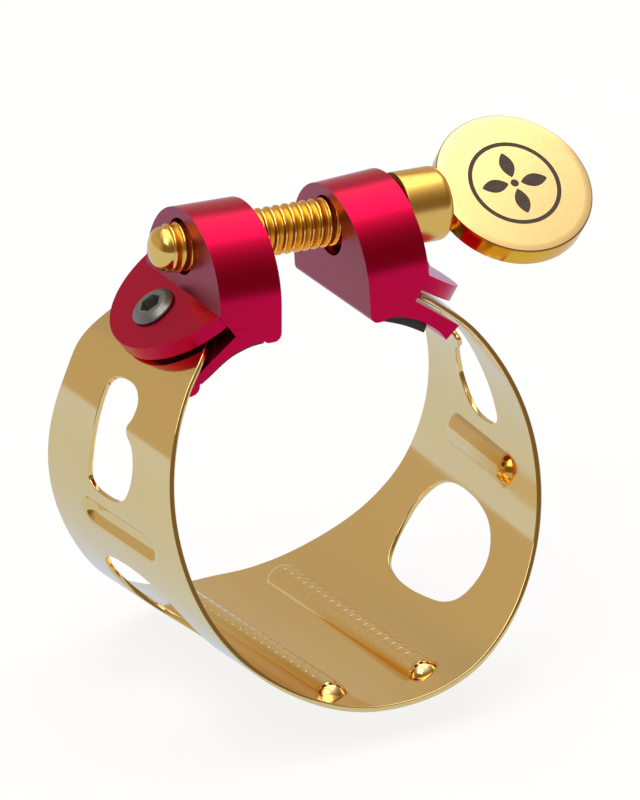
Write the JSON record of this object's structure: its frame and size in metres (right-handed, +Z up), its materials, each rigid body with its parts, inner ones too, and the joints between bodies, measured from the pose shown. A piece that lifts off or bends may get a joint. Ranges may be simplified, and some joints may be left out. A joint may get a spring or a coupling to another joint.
{
  "type": "saxophone ligature",
  "caption": "Gold-finished strap ligature that clamps a reed to a saxophone mouthpiece, drawn shut by a thumb screw with a coin-shaped knob between two red lugs.",
  "frame": {"origin": "on the mouthpiece axis, level with the middle of the band's lower edge", "axes": "+Y along the mouthpiece axis towards the wider end of the band, +X along the screw towards its knob, +Z up to the lugs"},
  "size_m": [0.0334, 0.0259, 0.0304],
  "materials": {
    "gold_strap": "mirror-polished clear gold lacquer",
    "gold_screw": "polished gold plate",
    "gold_disc": "polished gold plate",
    "red_anodised": "satin crimson anodised",
    "dark_steel": "gunmetal",
    "pad": "matt black-brown"
  },
  "bodies": {
    "right_half": {"band": "gold_strap", "right_lug": "red_anodised", "right_pad": "pad", "right_clamp_screw": "dark_steel"},
    "left_arm": {"band_left_arm": "gold_strap", "left_lug": "red_anodised", "left_pad": "pad", "left_clamp_screw": "dark_steel"},
    "thumb_screw": {"screw_shaft": "gold_screw", "thumb_disc": "gold_disc"}
  },
  "joints": [
    {"name": "screw_turn", "type": "hinge", "parent": "right_half", "child": "thumb_screw", "pos_m": [0, 0.00125, 0.01387], "axis": [0.9997, 0, -0.0262], "range_deg": [-1080, 1080]},
    {"name": "band_flex", "type": "hinge", "parent": "right_half", "child": "left_arm", "pos_m": [-0.00544, 0, -0.01115], "axis": [0, 1, 0], "range_deg": [-4.15, 4.15]}
  ],
  "couplings": [
    {"joint": "band_flex", "follows": "screw_turn", "ratio": -0.003789}
  ]
}
